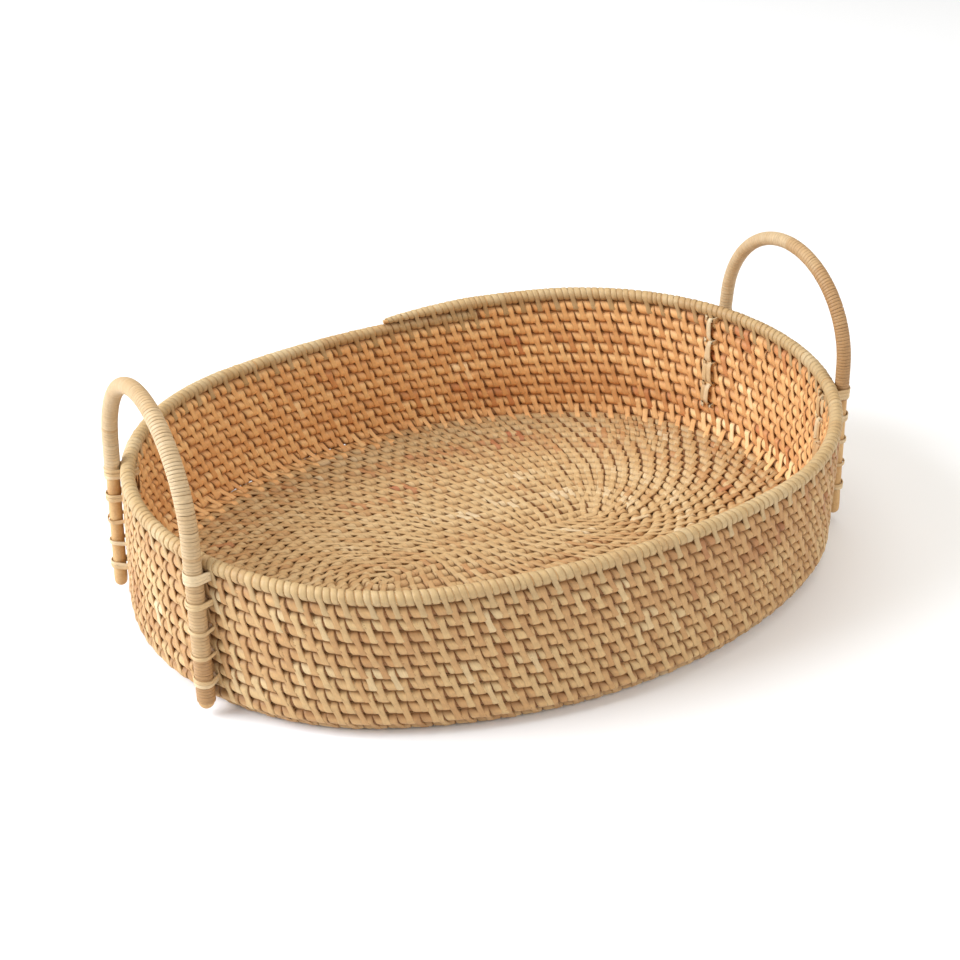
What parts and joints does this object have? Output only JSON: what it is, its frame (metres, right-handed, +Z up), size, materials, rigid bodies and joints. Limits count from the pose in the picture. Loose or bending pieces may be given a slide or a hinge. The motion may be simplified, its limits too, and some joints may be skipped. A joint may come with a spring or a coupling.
{
  "type": "serving tray",
  "caption": "Oval coiled-rattan serving tray with a bound spiral base, a low helical wall with a stepped rim end and two wrapped hoop handles lashed to the long ends.",
  "frame": {"origin": "on the table surface, under the middle of the tray's bounding box", "axes": "+X along the tray's length towards the right-hand handle, +Y to the rear where the rim's end lies, +Z up"},
  "size_m": [0.4721, 0.348, 0.1786],
  "materials": {
    "core_cane": "dry matt cane, darker brown in the gaps between stitches",
    "base_binding": "split rattan peel, pale straw, satin",
    "wall_binding": "split rattan peel, warm honey, satin with darker edges",
    "handle_cane": "round rattan cane, peeled, matt",
    "handle_wrap": "narrow split rattan peel wound closely, satin",
    "lashing_peel": "split rattan peel, satin"
  },
  "bodies": {
    "root": {"base_01_binding": "base_binding", "base_01_cane": "core_cane", "base_02_binding": "base_binding", "base_02_cane": "core_cane", "base_03_binding": "base_binding", "base_03_cane": "core_cane", "base_04_binding": "base_binding", "base_04_cane": "core_cane", "base_05_binding": "base_binding", "base_05_cane": "core_cane", "base_06_binding": "base_binding", "base_06_cane": "core_cane", "base_07_binding": "base_binding", "base_07_cane": "core_cane", "left_front_inner_strand": "lashing_peel", "left_front_lashings": "lashing_peel", "left_handle_cane": "handle_cane", "left_handle_wrap": "handle_wrap", "left_rear_inner_strand": "lashing_peel", "left_rear_lashings": "lashing_peel", "right_front_inner_strand": "lashing_peel", "right_front_lashings": "lashing_peel", "right_handle_cane": "handle_cane", "right_handle_wrap": "handle_wrap", "right_rear_inner_strand": "lashing_peel", "right_rear_lashings": "lashing_peel", "rim_binding": "wall_binding", "rim_cane": "core_cane", "wall_01_binding": "wall_binding", "wall_01_cane": "core_cane", "wall_02_binding": "wall_binding", "wall_02_cane": "core_cane", "wall_03_binding": "wall_binding", "wall_03_cane": "core_cane", "wall_04_binding": "wall_binding", "wall_04_cane": "core_cane", "wall_05_binding": "wall_binding", "wall_05_cane": "core_cane", "wall_06_binding": "wall_binding", "wall_06_cane": "core_cane", "wall_07_binding": "wall_binding", "wall_07_cane": "core_cane", "wall_08_binding": "wall_binding", "wall_08_cane": "core_cane", "wall_09_binding": "wall_binding", "wall_09_cane": "core_cane", "wall_10_binding": "wall_binding", "wall_10_cane": "core_cane", "wall_11_binding": "wall_binding", "wall_11_cane": "core_cane"}
  },
  "joints": []
}
